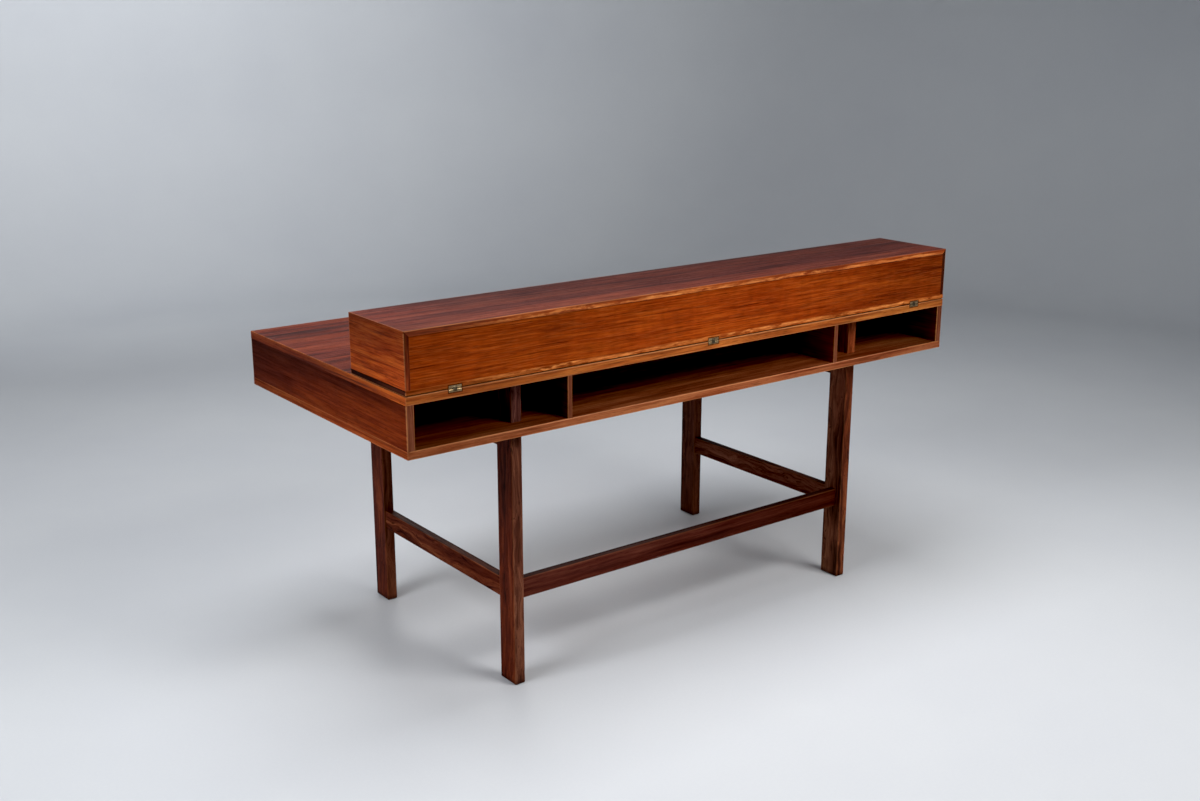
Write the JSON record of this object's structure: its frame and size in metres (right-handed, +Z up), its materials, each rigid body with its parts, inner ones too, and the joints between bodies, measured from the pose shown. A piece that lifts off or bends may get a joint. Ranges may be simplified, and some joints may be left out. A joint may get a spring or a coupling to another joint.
{
  "type": "partners desk",
  "caption": "Flip-top partners desk in rosewood: drawers on one side, an open shelf on the other, and a pigeonhole box on link hinges that turns over to widen the top.",
  "frame": {"origin": "middle of the desk's footprint, on the floor", "axes": "+Z up, +X along the desk, +Y from the sitter's side towards the shelf side"},
  "size_m": [1.63, 0.744, 0.87],
  "materials": {
    "rosewood": "satin",
    "drawer_wood": "matte",
    "brass": "satin",
    "steel": "satin",
    "dark_steel": "matte"
  },
  "bodies": {
    "base": {"desktop": "rosewood", "bottom_board": "rosewood", "side_panel_left": "rosewood", "side_panel_right": "rosewood", "shelf_wall": "rosewood", "shelf_divider_left": "rosewood", "shelf_divider_right": "rosewood", "drawer_partition_1": "rosewood", "drawer_partition_2": "rosewood", "drawer_partition_3": "rosewood", "leg_back_left": "rosewood", "leg_back_right": "rosewood", "leg_front_left": "rosewood", "leg_front_right": "rosewood", "top_rail_left": "rosewood", "top_rail_right": "rosewood", "side_stretcher_left": "rosewood", "side_stretcher_right": "rosewood", "long_stretcher": "rosewood", "drawer_runners": "drawer_wood", "drawer_stops": "drawer_wood", "frame_screws": "steel", "hinge_leaves_lower": "brass", "hinge_pins_lower": "steel"},
    "hinge_links": {"hinge_links": "dark_steel"},
    "flip_top": {"flip_bottom": "rosewood", "flip_cover": "rosewood", "flip_end_left": "rosewood", "flip_end_right": "rosewood", "flip_back": "rosewood", "flip_divider_left": "rosewood", "flip_divider_right": "rosewood", "hinge_leaves_upper": "brass", "hinge_pins_upper": "steel"},
    "drawer_1": {"drawer_1_front": "rosewood", "drawer_1_side_left": "drawer_wood", "drawer_1_side_right": "drawer_wood", "drawer_1_back": "drawer_wood", "drawer_1_bottom": "drawer_wood"},
    "drawer_2": {"drawer_2_front": "rosewood", "drawer_2_side_left": "drawer_wood", "drawer_2_side_right": "drawer_wood", "drawer_2_back": "drawer_wood", "drawer_2_bottom": "drawer_wood"},
    "drawer_3": {"drawer_3_front": "rosewood", "drawer_3_side_left": "drawer_wood", "drawer_3_side_right": "drawer_wood", "drawer_3_back": "drawer_wood", "drawer_3_bottom": "drawer_wood"},
    "drawer_4": {"drawer_4_front": "rosewood", "drawer_4_side_left": "drawer_wood", "drawer_4_side_right": "drawer_wood", "drawer_4_back": "drawer_wood", "drawer_4_bottom": "drawer_wood"}
  },
  "joints": [
    {"name": "hinge_link_turn", "type": "hinge", "parent": "base", "child": "hinge_links", "pos_m": [0, 0.3696, 0.7335], "axis": [-1, 0, 0], "range_deg": [0, 90]},
    {"name": "flip_top_turn", "type": "hinge", "parent": "hinge_links", "child": "flip_top", "pos_m": [0, 0.3696, 0.7395], "axis": [-1, 0, 0], "range_deg": [0, 90]},
    {"name": "drawer_1_slide", "type": "slide", "parent": "base", "child": "drawer_1", "axis": [0, -1, 0], "range_m": [0, 0.35]},
    {"name": "drawer_2_slide", "type": "slide", "parent": "base", "child": "drawer_2", "axis": [0, -1, 0], "range_m": [0, 0.35]},
    {"name": "drawer_3_slide", "type": "slide", "parent": "base", "child": "drawer_3", "axis": [0, -1, 0], "range_m": [0, 0.35]},
    {"name": "drawer_4_slide", "type": "slide", "parent": "base", "child": "drawer_4", "axis": [0, -1, 0], "range_m": [0, 0.35]}
  ],
  "couplings": [
    {"joint": "hinge_link_turn", "follows": "flip_top_turn", "ratio": 1}
  ]
}
